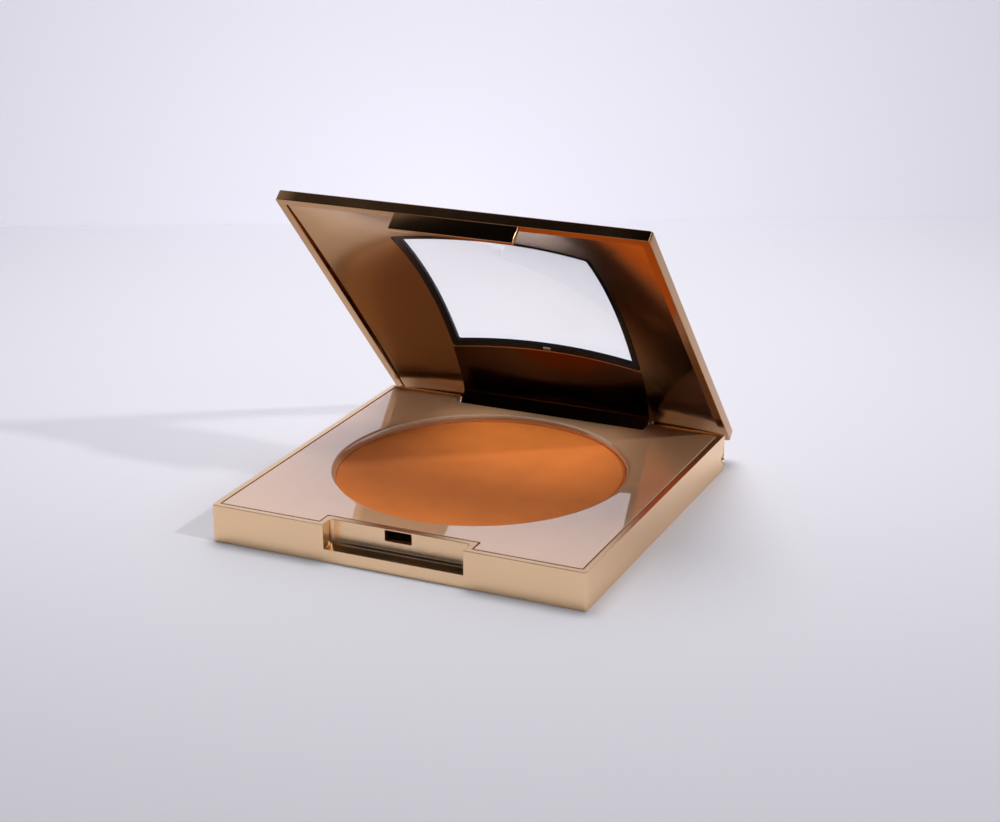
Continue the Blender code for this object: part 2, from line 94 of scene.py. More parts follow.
# %% Sizes of the lid, as drawn closed
LID_RIM = BASE_TOP + 0.3 * MM       # underside of the lid's rim
RIM_WIDTH = 1.8 * MM                # flat rim round the lid's hollow
LID_EDGE = 2.24 * MM                # height of the lid's side
LID_RISE = 8.6 * MM                 # further height in the middle
INNER_RISE = 8.5 * MM
WINDOW = (20.0 * MM, 19.4 * MM)     # half sizes of the clear opening
KNUCKLE_HALF = 21.7 * MM
TAB_HALF = 13.0 * MM
HINGE_NOTCH_HALF = 22.2 * MM        # the base's opening for the hinge block
DECK_REAR = 33.2 * MM               # where the deck stops for the hinge block
BORE = 0.9 * MM                     # radius of the holes for the pins

# %% [markdown]
# ## Tools of the bench
#
# Real cases are moulded, so their corners are rounded squares and their skins are smooth
# domes. A *loft* suits that: rings of points, all with the same count, joined by faces. A
# square tray with pockets is easier to cut from a block, with Boolean cutters that are thrown
# away at once. Small bevels come last, because they catch the light as real edges do.

# %% Rings and lofts
def rounded_square(half_x, half_y, radius, side_steps=20, corner_steps=6):
    """Points round a rounded rectangle, always the same number for the same steps."""
    points = []
    for quarter, (sx, sy) in enumerate(((1, 1), (-1, 1), (-1, -1), (1, -1))):
        centre = Vector((sx * (half_x - radius), sy * (half_y - radius)))
        for i in range(corner_steps + 1):
            a = math.radians(90 * (quarter + i / corner_steps))
            points.append(centre + radius * Vector((math.cos(a), math.sin(a))))
        turn = math.radians(90 * (quarter + 1))
        nsx, nsy = ((-1, 1), (-1, -1), (1, -1), (1, 1))[quarter]
        start = points[-1]
        end = Vector((nsx * (half_x - radius), nsy * (half_y - radius))) \
            + radius * Vector((math.cos(turn), math.sin(turn)))
        points += [start.lerp(end, i / side_steps) for i in range(1, side_steps)]
    return points


def ring(outline, surface):
    """Lift an outline onto a surface, which gives a height for each x and y."""
    return [Vector((p.x, p.y, surface(p.x, p.y))) for p in outline]


def loft(rings, joined=False):
    """Faces between rings of points. A joined loft closes into a tube round a hole."""
    bm = bmesh.new()
    rows = [[bm.verts.new(p) for p in points] for points in rings]
    pairs = list(zip(rows, rows[1:])) + ([(rows[-1], rows[0])] if joined else [])
    for a, b in pairs:
        for i in range(len(a)):
            j = (i + 1) % len(a)
            bm.faces.new((a[i], a[j], b[j], b[i]))
    if not joined:
        bm.faces.new(rows[0])
        bm.faces.new(rows[-1])
    bmesh.ops.recalc_face_normals(bm, faces=bm.faces[:])
    return bm


def lathe(profile, steps=192):
    """Turn a closed profile of (radius, height) points about the upright axis."""
    rings = []
    for radius, height in profile:
        rings.append([Vector((radius * math.cos(2 * math.pi * i / steps),
                              radius * math.sin(2 * math.pi * i / steps), height))
                      for i in range(steps)])
    return rings


def arc(centre, radius, start_deg, end_deg, steps):
    """Points on an arc, both ends included."""
    angles = [math.radians(start_deg + (end_deg - start_deg) * i / steps)
              for i in range(steps + 1)]
    return [(centre[0] + radius * math.cos(a), centre[1] + radius * math.sin(a))
            for a in angles]


print("a ring has", len(rounded_square(0.02, 0.02, 0.001)), "points")

# %% Blocks and rods for cutting
def block(low, high):
    low, high = Vector(low), Vector(high)
    bm = bmesh.new()
    bmesh.ops.create_cube(bm, size=1.0, matrix=Matrix.Translation((low + high) / 2)
                          @ Matrix.Diagonal((*(high - low), 1.0)))
    return bm


def soften(bm, chosen, radius, steps=6):
    """Round the chosen edges of a block."""
    edges = [e for e in bm.edges if chosen(*(v.co for v in e.verts))]
    bmesh.ops.bevel(bm, geom=edges, offset=radius, offset_type="OFFSET",
                    segments=steps, profile=0.5, affect="EDGES")
    return bm


def upright(a, b):
    return (a - b).xy.length < 1e-7


def rod(radius, start, end, y, z, steps=48):
    bm = bmesh.new()
    bmesh.ops.create_cone(bm, cap_ends=True, segments=steps, radius1=radius, radius2=radius,
                          depth=end - start,
                          matrix=Matrix.Translation(((start + end) / 2, y, z))
                          @ Matrix.Rotation(math.pi / 2, 4, "Y"))
    return bm


print("a block has", len(block((0, 0, 0), (1, 1, 1)).faces), "faces before it is softened")

# %% Objects, cuts and edges
def new_object(name, bm, smooth_deg=32):
    mesh = bpy.data.meshes.new(name)
    bm.to_mesh(mesh)
    bm.free()
    mesh.shade_smooth()
    mesh.set_sharp_from_angle(angle=math.radians(smooth_deg))
    obj = bpy.data.objects.new(name, mesh)
    bpy.context.scene.collection.objects.link(obj)
    return obj


def apply_modifiers(obj):
    """Replace an object's mesh by what its modifiers make of it."""
    bpy.context.view_layer.update()
    graph = bpy.context.evaluated_depsgraph_get()
    mesh = bpy.data.meshes.new_from_object(obj.evaluated_get(graph), depsgraph=graph)
    obj.modifiers.clear()
    obj.data = mesh


def cut(obj, bm):
    """Cut a shape away from obj, and throw the cutter away."""
    tool = new_object("cutter", bm)
    boolean = obj.modifiers.new("cut", "BOOLEAN")
    boolean.operation, boolean.solver, boolean.object = "DIFFERENCE", "EXACT", tool
    apply_modifiers(obj)
    bpy.data.objects.remove(tool, do_unlink=True)


def round_edges(obj, width, segments=3, angle_deg=40):
    """A small bevel on the sharp edges, with the flat faces kept flat in shading."""
    bevel = obj.modifiers.new("edges", "BEVEL")
    bevel.width, bevel.segments = width, segments
    bevel.limit_method, bevel.angle_limit = "ANGLE", math.radians(angle_deg)
    bevel.harden_normals = True
    bevel.miter_outer = "MITER_ARC"
    obj.data.shade_smooth()
    apply_modifiers(obj)


def even_shading(obj):
    """Let each large flat face set the shading along its own edges."""
    weighted = obj.modifiers.new("even", "WEIGHTED_NORMAL")
    weighted.weight, weighted.keep_sharp = 50, False
    apply_modifiers(obj)


def merge(obj, *others):
    """Join other objects into obj, as details of the same piece."""
    bm = bmesh.new()
    bm.from_mesh(obj.data)
    for other in others:
        bm.from_mesh(other.data)
        bpy.data.objects.remove(other, do_unlink=True)
    bm.to_mesh(obj.data)
    bm.free()


def settle(obj, finish, body, slot, *nodes, lid=False):
    """Give a piece its finish, open it with the lid if it belongs there, and hand it over."""
    if lid:
        obj.data.transform(open_lid)
    obj.data.materials.clear()
    obj.data.materials.append(finish)
    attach(obj, body)
    if nodes:
        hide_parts(*nodes)
    print(obj.name, "has", len(obj.data.polygons), "faces")


# %% [markdown]
# ## Effects that several finishes share
#
# Plated plastic is never perfectly even. It has a very fine grain from the mould, a slight
# waviness, and faint marks from handling. Each of these is a small node group, built
# once, with named inputs and outputs, and each finish places it with its own values. The
# pattern is tied to the piece itself, so it stays in place when the view changes.

# %% A helper for node groups
def start_group(name, inputs, outputs):
    """A shader node group with its sockets. Returns the group and its two end nodes."""
    group = bpy.data.node_groups.new(name, "ShaderNodeTree")
    for label, value in inputs:
        socket = group.interface.new_socket(label, in_out="INPUT", socket_type="NodeSocketFloat")
        socket.default_value = value
    for label, kind in outputs:
        group.interface.new_socket(label, in_out="OUTPUT", socket_type=kind)
    return group, group.nodes.new("NodeGroupInput"), group.nodes.new("NodeGroupOutput")


def math_node(group, operation, a, b):
    node = group.nodes.new("ShaderNodeMath")
    node.operation = operation
    for socket, value in zip(node.inputs, (a, b)):
        if isinstance(value, bpy.types.NodeSocket):
            group.links.new(value, socket)
        else:
            socket.default_value = value
    return node.outputs[0]


def noise_node(group, scale, detail, roughness=0.5):
    """Noise fixed to the piece. The scale is how many grains there are in a metre."""
    place = group.nodes.new("ShaderNodeTexCoord")
    node = group.nodes.new("ShaderNodeTexNoise")
    group.links.new(place.outputs["Object"], node.inputs["Vector"])
    if isinstance(scale, bpy.types.NodeSocket):
        group.links.new(scale, node.inputs["Scale"])
    else:
        node.inputs["Scale"].default_value = scale
    node.inputs["Detail"].default_value = detail
    node.inputs["Roughness"].default_value = roughness
    return node.outputs["Fac"]


# %% Mould grain
grain_group, g_in, g_out = start_group(
    "mould_grain", [("Scale", 9000.0), ("Waviness", 0.3)],
    [("Height", "NodeSocketFloat"), ("Spread", "NodeSocketFloat")])
fine = noise_node(grain_group, g_in.outputs["Scale"], 3.0, 0.6)
broad = noise_node(grain_group, 160.0, 1.0)
wavy = math_node(grain_group, "MULTIPLY", broad, g_in.outputs["Waviness"])
grain_group.links.new(math_node(grain_group, "ADD", fine, wavy), g_out.inputs["Height"])
grain_group.links.new(math_node(grain_group, "SUBTRACT", fine, 0.5), g_out.inputs["Spread"])
print("made", grain_group.name)

# %% Handling marks
marks_group, m_in, m_out = start_group(
    "handling_marks", [("Clean", 0.1), ("Smudged", 0.2), ("Grain", 0.05)],
    [("Roughness", "NodeSocketFloat"), ("Mask", "NodeSocketFloat")])
cloud = noise_node(marks_group, 70.0, 2.0, 0.5)
mask = marks_group.nodes.new("ShaderNodeMapRange")
mask.interpolation_type = "SMOOTHSTEP"
marks_group.links.new(cloud, mask.inputs["Value"])
mask.inputs["From Min"].default_value, mask.inputs["From Max"].default_value = 0.42, 0.72
span = math_node(marks_group, "SUBTRACT", m_in.outputs["Smudged"], m_in.outputs["Clean"])
added = math_node(marks_group, "MULTIPLY", mask.outputs["Result"], span)
speck = math_node(marks_group, "SUBTRACT", noise_node(marks_group, 5200.0, 2.0), 0.5)
speck = math_node(marks_group, "MULTIPLY", speck, m_in.outputs["Grain"])
total = math_node(marks_group, "ADD", math_node(
    marks_group, "ADD", m_in.outputs["Clean"], added), speck)
marks_group.links.new(total, m_out.inputs["Roughness"])
marks_group.links.new(mask.outputs["Result"], m_out.inputs["Mask"])
print("made", marks_group.name)

# %% [markdown]
# ## The finishes
#
# A finish starts from the Principled shader. Metal plating has its colour in the reflection,
# so the colour is chosen as the metal looks when it mirrors something white. The two groups
# add grain through a Bump node and uneven gloss through Roughness. The deck is different: a
# clear, sharp lacquer lies over a hazy champagne, so it mirrors the room and still looks
# tinted where the room is dark.

# %% A helper for finishes
def start_finish(name, colour, **constants):
    """A Principled material. The constants are set on the shader's own sockets."""
    mat = bpy.data.materials.new(name)
    mat.use_nodes = True
    shader = mat.node_tree.nodes["Principled BSDF"]
    shader.inputs["Base Color"].default_value = (*colour, 1.0)
    for label, value in constants.items():
        shader.inputs[label.replace("_", " ")].default_value = value
    return mat, mat.node_tree, shader


def place_group(tree, group, **values):
    node = tree.nodes.new("ShaderNodeGroup")
    node.node_tree = group
    for label, value in values.items():
        node.inputs[label].default_value = value
    return node


def add_bump(tree, shader, height, distance, strength=1.0):
    bump = tree.nodes.new("ShaderNodeBump")
    bump.inputs["Strength"].default_value = strength
    bump.inputs["Distance"].default_value = distance
    tree.links.new(height, bump.inputs["Height"])
    tree.links.new(bump.outputs["Normal"], shader.inputs["Normal"])


def two_tones(tree, factor, low, high):
    """A colour between two tones."""
    ramp = tree.nodes.new("ShaderNodeValToRGB")
    ramp.color_ramp.elements[0].color = (*low, 1.0)
    ramp.color_ramp.elements[1].color = (*high, 1.0)
    tree.links.new(factor, ramp.inputs["Fac"])
    return ramp.outputs["Color"]


def plated(name, tones, clean, smudged, grain, bump, scale=9000.0, waviness=0.3):
    """Metal plating over moulded plastic."""
    mat, tree, shader = start_finish(name, tones[0], Metallic=1.0)
    marks = place_group(tree, marks_group, Clean=clean, Smudged=smudged, Grain=grain)
    tree.links.new(marks.outputs["Roughness"], shader.inputs["Roughness"])
    tree.links.new(two_tones(tree, marks.outputs["Mask"], *tones), shader.inputs["Base Color"])
    moulded = place_group(tree, grain_group, Scale=scale, Waviness=waviness)
    add_bump(tree, shader, moulded.outputs["Height"], bump)
    return mat


# %% Gold and champagne plating
satin_gold = plated("satin_gold", ((0.96, 0.675, 0.41), (0.95, 0.665, 0.40)),
                    clean=0.28, smudged=0.295, grain=0.01, bump=0.0000002)
lid_gold = plated("lid_gold", ((0.53, 0.295, 0.135), (0.50, 0.28, 0.125)),
                  clean=0.16, smudged=0.21, grain=0.04, bump=0.0000005)
champagne = plated("mirror_champagne", ((0.86, 0.51, 0.28), (0.84, 0.49, 0.265)),
                   clean=0.50, smudged=0.54, grain=0.04, bump=0.0000006)
lacquer = champagne.node_tree.nodes["Principled BSDF"]
lacquer.inputs["Coat Weight"].default_value = 1.0
lacquer.inputs["Coat Roughness"].default_value = 0.03
lacquer.inputs["Coat IOR"].default_value = 3.4
lacquer.inputs["Metallic"].default_value = 0.25
# Near-black bronze for the hinge block: painted shade and painted dark reflection, standing in for
# the dark hollow at the hinge that the block sits in and mirrors.
bronze_painted_shade = plated("bronze_painted_shade", ((0.115, 0.052, 0.024), (0.10, 0.046, 0.021)),
                     clean=0.15, smudged=0.20, grain=0.04, bump=0.0000004)
print("made", satin_gold.name, lid_gold.name, champagne.name, bronze_painted_shade.name)

# %% Pressed powder
powder, tree, shader = start_finish("pressed_powder", (0.56, 0.15, 0.04), Roughness=0.95)
shader.inputs["Specular IOR Level"].default_value = 0.2
shader.inputs["Sheen Weight"].default_value = 0.15
shader.inputs["Sheen Roughness"].default_value = 0.5
moulded = place_group(tree, grain_group, Scale=4200.0, Waviness=0.8)
tree.links.new(two_tones(tree, moulded.outputs["Height"], (0.66, 0.160, 0.020),
                         (0.88, 0.238, 0.036)), shader.inputs["Base Color"])
add_bump(tree, shader, moulded.outputs["Height"], 0.00009, 0.7)
print("made", powder.name)

# %% Tin, steel, foam and paper
tinplate = plated("tinplate", ((0.66, 0.65, 0.64), (0.60, 0.59, 0.58)),
                  clean=0.28, smudged=0.42, grain=0.08, bump=0.000002)
pin_steel = plated("pin_steel", ((0.50, 0.50, 0.51), (0.42, 0.42, 0.43)),
                   clean=0.30, smudged=0.45, grain=0.10, bump=0.000002)


def plain_stock(name, tones, roughness, scale, depth):
    """Foam or paper: a matt stock with two tones of fibre or cells."""
    mat, tree, shader = start_finish(name, tones[0], Roughness=roughness)
    cells = place_group(tree, grain_group, Scale=scale, Waviness=0.4)
    tree.links.new(two_tones(tree, cells.outputs["Height"], *tones), shader.inputs["Base Color"])
    add_bump(tree, shader, cells.outputs["Height"], depth)
    return mat


pad_foam = plain_stock("pad_foam", ((0.74, 0.74, 0.70), (0.90, 0.90, 0.87)), 0.9, 2500.0, 0.00008)
label_paper = plain_stock("label_paper", ((0.84, 0.82, 0.78), (0.93, 0.91, 0.87)), 0.65,
                          6000.0, 0.00001)
frosted_acrylic = plain_stock("frosted_acrylic", ((0.30, 0.31, 0.34), (0.45, 0.46, 0.50)), 0.3,
                              4000.0, 0.00001)
print("made", tinplate.name, pin_steel.name, pad_foam.name, label_paper.name,
      frosted_acrylic.name)

# %% Black frame and clear pane
bezel_black, tree, shader = start_finish("bezel_black", (0.012, 0.011, 0.013))
shader.inputs["Specular IOR Level"].default_value = 0.25
marks = place_group(tree, marks_group, Clean=0.10, Smudged=0.20, Grain=0.03)
tree.links.new(marks.outputs["Roughness"], shader.inputs["Roughness"])
add_bump(tree, shader, place_group(tree, grain_group, Scale=4000.0).outputs["Height"], 0.000002)

clear_acrylic, tree, shader = start_finish("clear_acrylic", (1.0, 1.0, 1.0), Roughness=0.0,
                                           IOR=1.35, Transmission_Weight=1.0)
faint = place_group(tree, grain_group, Scale=300.0, Waviness=0.5)
add_bump(tree, shader, faint.outputs["Height"], 0.0000002)
seen_by = tree.nodes.new("ShaderNodeLightPath")
see_through = tree.nodes.new("ShaderNodeBsdfTransparent")
see_through.inputs["Color"].default_value = (0.93, 0.93, 0.94, 1.0)
either = tree.nodes.new("ShaderNodeMixShader")
tree.links.new(seen_by.outputs["Is Shadow Ray"], either.inputs["Fac"])
tree.links.new(shader.outputs["BSDF"], either.inputs[1])
tree.links.new(see_through.outputs["BSDF"], either.inputs[2])
tree.links.new(either.outputs["Shader"], tree.nodes["Material Output"].inputs["Surface"])
print("made", bezel_black.name, clear_acrylic.name)

# %% [markdown]
# ## The base shell
#
# On the real compact this is one moulding: a shallow tray with a finger notch at the front, a
# long notch at the back for the hinge, and a small slot that the lid's catch snaps into. It is
# cut from a block, because every pocket is a plain one, and then all its edges get a fine
# bevel. The notch's own inner corners are rounder, which gives the gold its bright upright
# line at the end of the notch. The pin bores come last, so that they stay crisp.

# %% Cut the tray
NOTCH_HALF, NOTCH_BACK, NOTCH_FLOOR = 14.6 * MM, -HALF_D + 3.2 * MM, 2.7 * MM
FLOOR, DECK_THICK = 1.2 * MM, 1.0 * MM
PAST = 5 * MM                       # how far a cutter runs past what it cuts
lug_top = BASE_TOP - DECK_THICK - 0.3 * MM
housing_half, housing_back = NOTCH_HALF + WALL, NOTCH_BACK + WALL

base_shell = new_object("base_shell_gold", soften(block(
    (-HALF_W, -HALF_D, 0), (HALF_W, HALF_D, BASE_TOP)), upright, CORNER))
hollow = new_object("hollow", soften(block(
    (-HALF_W + WALL, -HALF_D + WALL, FLOOR), (HALF_W - WALL, HALF_D - WALL, BASE_TOP + PAST)),
    upright, 0.3 * MM, 3))
cut(hollow, soften(block((-housing_half, -HALF_D, 0),
                         (housing_half, housing_back, BASE_TOP + 2 * PAST)),
                   upright, 0.3 * MM, 3))
cut(hollow, block((-HALF_W, DECK_REAR, 0), (HALF_W, HALF_D, lug_top)))
shape = bmesh.new()
shape.from_mesh(hollow.data)
bpy.data.objects.remove(hollow, do_unlink=True)
cut(base_shell, shape)
print("tray hollowed")

# %% Cut the notches
notch = block((-NOTCH_HALF, -HALF_D - PAST, NOTCH_FLOOR), (NOTCH_HALF, NOTCH_BACK, BASE_TOP + PAST))
soften(notch, lambda a, b: a.y > -HALF_D and b.y > -HALF_D and min(a.z, b.z) < BASE_TOP,
       0.7 * MM, 7)
cut(base_shell, notch)
cut(base_shell, block((-HINGE_NOTCH_HALF, 30.8 * MM, FLOOR - 0.2 * MM),
                      (HINGE_NOTCH_HALF, HALF_D + PAST, BASE_TOP + PAST)))
SLOT_X, SLOT_HALF, SLOT_LOW, SLOT_HIGH = -0.35 * MM, 2.8 * MM, 5.15 * MM, 7.25 * MM
cut(base_shell, soften(block(
    (SLOT_X - SLOT_HALF, NOTCH_BACK - 1 * MM, SLOT_LOW),
    (SLOT_X + SLOT_HALF, housing_back + WALL, SLOT_HIGH)),
    lambda a, b: abs(a.y - b.y) > 1e-5, 0.25 * MM, 3))
label_recess = block((-22.3 * MM, 10.7 * MM, -PAST), (22.3 * MM, 29.3 * MM, 0.4 * MM))
cut(base_shell, label_recess)
round_edges(base_shell, 0.16 * MM)
cut(base_shell, rod(BORE, -HALF_W - PAST, HALF_W + PAST, PIN.y, PIN.z))
even_shading(base_shell)
settle(base_shell, satin_gold, "base", "satin_gold", "base_shell")

# %% [markdown]
# ## The deck
#
# The deck is a polished panel dropped into the tray, with a hair seam all round. Its round
# opening has a broad rolled lip that turns down to the powder. The flat part has to be truly
# flat, or its mirror image would ripple, so it is a Boolean block with a hole. The lip is a
# piece of its own, turned on a lathe, and it meets the panel where both are level.

# %% Cut the panel and turn the lip
edge_x, edge_y = HALF_W - WALL - SEAM, HALF_D - WALL - SEAM
deck = new_object("deck_mirror", soften(block(
    (-edge_x, -edge_y, BASE_TOP - DECK_THICK), (edge_x, edge_y, BASE_TOP)), upright, 0.2 * MM, 3))
cut(deck, soften(block((-housing_half - SEAM, -HALF_D, 0),
                       (housing_half + SEAM, housing_back + SEAM, BASE_TOP + PAST)),
                 upright, 0.3 * MM, 3))
cut(deck, block((-HINGE_NOTCH_HALF, DECK_REAR, 0),
                (HINGE_NOTCH_HALF, HALF_D, BASE_TOP + PAST)))
flat_radius = WELL_RADIUS + LIP_RADIUS
hole_radius = flat_radius + 0.4 * MM
round_hole = loft(lathe([(hole_radius, 0), (hole_radius, BASE_TOP + PAST)]))
round_hole.transform(Matrix.Translation((0, PAN_Y, 0)))
round_edges(deck, 0.12 * MM, 2, 60)
cut(deck, round_hole)
even_shading(deck)

lip_bottom = BASE_TOP - LIP_RADIUS
profile = arc((flat_radius, lip_bottom), LIP_RADIUS, 180, 90, 14)
skirt = POWDER_TOP - 0.1 * MM       # the lip reaches down past the powder's top
profile += [(hole_radius, BASE_TOP), (hole_radius, BASE_TOP - DECK_THICK),
            (flat_radius, BASE_TOP - DECK_THICK), (WELL_RADIUS + 0.3 * MM, skirt),
            (WELL_RADIUS, skirt)]
lip_shape = loft(lathe(profile), joined=True)
lip_shape.transform(Matrix.Translation((0, PAN_Y, 0)))
lip = new_object("well_lip_champagne", lip_shape)
settle(deck, champagne, "base", "mirror_champagne", "deck_panel")
settle(lip, champagne, "base", "mirror_champagne")

# %% [markdown]
# ## The pan and its powder
#
# The powder is pressed into a thin tin pan, which is glued to the tray with a foam disc. Both
# are turned shapes. The powder's top is almost flat, with a soft shoulder, and a very slight
# unevenness that the press leaves.

# %% Turn the pan
pan_bottom, pan_top = pan_low.z, pan_high.z
inside = PAN_RADIUS - TIN
profile = [(0.5 * MM, pan_bottom + TIN)]
profile += arc((inside - 0.6 * MM, pan_bottom + TIN + 0.6 * MM), 0.6 * MM, -90, 0, 6)
profile += arc((inside + TIN / 2, pan_top - TIN / 2), TIN / 2, 180, 0, 6)
profile += arc((PAN_RADIUS - 0.9 * MM, pan_bottom + 0.9 * MM), 0.9 * MM, 0, -90, 6)
profile += [(0.5 * MM, pan_bottom)]
pan_shape = loft(lathe(profile, 144))
pan_shape.transform(Matrix.Translation((0, PAN_Y, 0)))
pan = new_object("powder_pan_tin", pan_shape)
settle(pan, tinplate, "base", "tinplate", "powder_pan")

# %% Press the powder
cake_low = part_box("powder_cake")[0].z
cake_radius = inside - 0.03 * MM
profile = [(r * MM, POWDER_TOP) for r in (0.5, 4, 8, 12, 16, 20, 24, 27)]
profile += arc((cake_radius - 0.25 * MM, POWDER_TOP - 0.25 * MM), 0.25 * MM, 90, 0, 6)
profile += [(cake_radius, cake_low + 0.7 * MM), (cake_radius - 0.7 * MM, cake_low),
            (0.5 * MM, cake_low)]
cake_shape = loft(lathe(profile, 144))
for vert in cake_shape.verts:
    if vert.co.z > POWDER_TOP - 0.1 * MM:
        x, y = vert.co.x / MM, vert.co.y / MM
        vert.co.z -= 0.02 * MM * (1 + math.sin(0.23 * x + 1.0) * math.cos(0.19 * y + 0.4))
cake_shape.transform(Matrix.Translation((0, PAN_Y, 0)))
cake = new_object("powder_pressed", cake_shape)
settle(cake, powder, "base", "pressed_powder", "powder_cake")

# %% [markdown]
# ## The hinge pins
#
# Each pin is a short steel wire with its ends chamfered, so that it can be pushed in from the
# side until its end is lost in the dark of its bore. It is lofted along its length.

# %% Turn the pins
PUSHED_IN = 0.6 * MM                # how far each pin sits below the side's surface
for node in ("hinge_pin_left", "hinge_pin_right"):
    low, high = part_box(node)
    radius, chamfer = (high.z - low.z) / 2, 0.15 * MM
    turn = Matrix.Translation((0, PIN.y, PIN.z)) @ Matrix.Rotation(math.pi / 2, 4, "Y")
    start = low.x + (PUSHED_IN if low.x < 0 else 0)
    end = high.x - (PUSHED_IN if high.x > 0 else 0)
    stations = [(radius - chamfer, start), (radius, start + chamfer),
                (radius, end - chamfer), (radius - chamfer, end)]
    pin_shape = loft(lathe(stations, 48))
    pin_shape.transform(turn)
    pin = new_object(node + "_steel", pin_shape)
    settle(pin, pin_steel, "base", "pin_steel", node)

# %% The foam disc and the blank label keep their measured shape
for node, finish in (("pan_adhesive_pad", pad_foam), ("base_label", label_paper)):
    mesh = frame["nodes"][node].data
    mesh.materials.clear()
    mesh.materials.append(finish)
    print(node, "keeps its shape, in", finish.name)

# %% [markdown]
# ## The lid's dome
#
# Inside and out, the lid is a pillow: highest in the middle and falling to nothing along all
# four edges. One short formula gives that height for any place on the lid. A skin is then a
# loft from the window's edge out to the rim and back again on the inside, so both faces of
# the dome are smooth and the wall has a true thickness.

# %% The pillow and its skins
def pillow(x, y):
    """1 in the middle of the lid and 0 along its edges."""
    return (1 - (x / HALF_W) ** 2) * (1 - (y / HALF_D) ** 2)


def dome(edge, rise):
    return lambda x, y: LID_RIM + edge + rise * pillow(x, y)


def level(height):
    return lambda x, y: height


def sweep(start, end, surface, steps):
    """Rings from one rounded square to another, all lying on a surface."""
    return [ring(rounded_square(*(a + (b - a) * i / steps for a, b in zip(start, end))), surface)
            for i in range(steps + 1)]


print("dome is", round((dome(LID_EDGE, LID_RISE)(0, 0) - LID_RIM) / MM, 1), "mm high")

# %% Mould the cover
outer, inner = dome(LID_EDGE, LID_RISE), dome(LID_EDGE - 0.7 * MM, INNER_RISE)
hole = (WINDOW[0] + 1.9 * MM, WINDOW[1] + 1.9 * MM, 0.8 * MM)
edge = (HALF_W, HALF_D, CORNER)
rim = (HALF_W - RIM_WIDTH, HALF_D - RIM_WIDTH, 0.3 * MM)
rings = sweep(hole, edge, outer, 26)
rings.append(ring(rounded_square(*edge), level(LID_RIM)))
rings.append(ring(rounded_square(*rim), level(LID_RIM)))
rings += sweep(rim, hole, inner, 24)
cover = new_object("lid_cover_gold", loft(rings, joined=True))
cut(cover, block((-KNUCKLE_HALF - 0.3 * MM, HALF_D - 2.6 * MM, LID_RIM - PAST),
                 (KNUCKLE_HALF + 0.3 * MM, HALF_D + PAST, LID_RIM + 1.6 * MM)))
round_edges(cover, 0.2 * MM, 3, 35)
print("cover has", len(cover.data.polygons), "faces")

# %% Add the thumb tab and its catch
front = -HALF_D + 0.15 * MM
tab = new_object("tab", soften(block(
    (-TAB_HALF, front, LID_RIM - 3.6 * MM), (TAB_HALF, front + 1.0 * MM, LID_RIM + 0.8 * MM)),
    lambda a, b: min(a.z, b.z) < LID_RIM, 0.22 * MM, 4))
nub = new_object("nub", soften(block(
    (-2.2 * MM, front + 0.5 * MM, 5.6 * MM), (2.2 * MM, front + 2.7 * MM, 6.8 * MM)),
    lambda a, b: a.y > front + 1 * MM and b.y > front + 1 * MM, 0.35 * MM, 4))
merge(cover, tab, nub)
settle(cover, lid_gold, "lid", "gloss_bronze", "lid_cover", lid=True)

# %% [markdown]
# ## The inner skin and the hinge block
#
# A second dome lines the lid. At the back it carries the hinge block, a bar that wraps the
# pins and sweeps up in a hollow curve into the dome. The block is a row of equal sections
# across the lid, whose upper points follow the dome. Its bronze is painted near black:
# painted shade and painted dark reflection for the dark hollow at the hinge.

# %% Mould the inner skin
skin_edge = (HALF_W - RIM_WIDTH - 0.12 * MM, HALF_D - RIM_WIDTH - 0.12 * MM, 0.3 * MM)
skin_hole = (WINDOW[0] + 1.55 * MM, WINDOW[1] + 1.55 * MM, 0.8 * MM)
upper, lower = dome(1.3 * MM, INNER_RISE), dome(0.15 * MM, 9.1 * MM)
rings = sweep(skin_hole, skin_edge, upper, 24) + sweep(skin_edge, skin_hole, lower, 24)
liner = new_object("lid_liner_gold", loft(rings, joined=True))
round_edges(liner, 0.12 * MM, 2, 50)
print("inner skin has", len(liner.data.polygons), "faces")

# %% Shape the hinge block
BARREL, FACE_Y, SWEEP = 1.4 * MM, 33.6 * MM, 12.3 * MM
rear = HALF_D - RIM_WIDTH - 0.3 * MM


def block_section(x):
    """Outline of the hinge block at one place across the lid."""
    skin = lower(x, FACE_Y - SWEEP) - 0.04 * MM
    knee = min(lower(x, FACE_Y) + 0.15 * MM, LID_RIM + 1.7 * MM)
    points = [(PIN.y + BARREL, LID_RIM + 1.2 * MM)]
    points += arc((PIN.y, PIN.z), BARREL, 0, -135, 10)
    points += [(FACE_Y, PIN.z + 0.7 * MM), (FACE_Y, LID_RIM)]
    for t in (i / 12 for i in range(1, 13)):
        points.append((FACE_Y - SWEEP * t * t,
                       LID_RIM * (1 - t) ** 2 + 2 * knee * t * (1 - t) + skin * t * t))
    points += [(FACE_Y - SWEEP / 2, lower(x, FACE_Y - SWEEP / 2) + 0.25 * MM),
               (FACE_Y, lower(x, FACE_Y) + 0.25 * MM), (rear, LID_RIM + 1.2 * MM)]
    return [Vector((x, y, z)) for y, z in points]


sections = [block_section(KNUCKLE_HALF * (i / 12 - 1)) for i in range(25)]
hinge_block = new_object("hinge_block_bronze", loft(sections))
round_edges(hinge_block, 0.18 * MM, 3, 50)
for side in (-1, 1):
    start, end = sorted((side * 13.7 * MM, side * HALF_W))
    cut(hinge_block, rod(BORE, start, end, PIN.y, PIN.z))
settle(liner, lid_gold, "lid", "gloss_bronze", "lid_liner", lid=True)
settle(hinge_block, bronze_painted_shade, "lid", "gloss_bronze", lid=True)

# %% [markdown]
# ## The window
#
# The pane follows the outer dome, so it is a domed slab of clear acrylic with a real
# thickness. A thin black frame is bonded round it on the inside. A small frosted tab of the
# pane, left by the mould, shows in the frame at the middle of the hinge side.

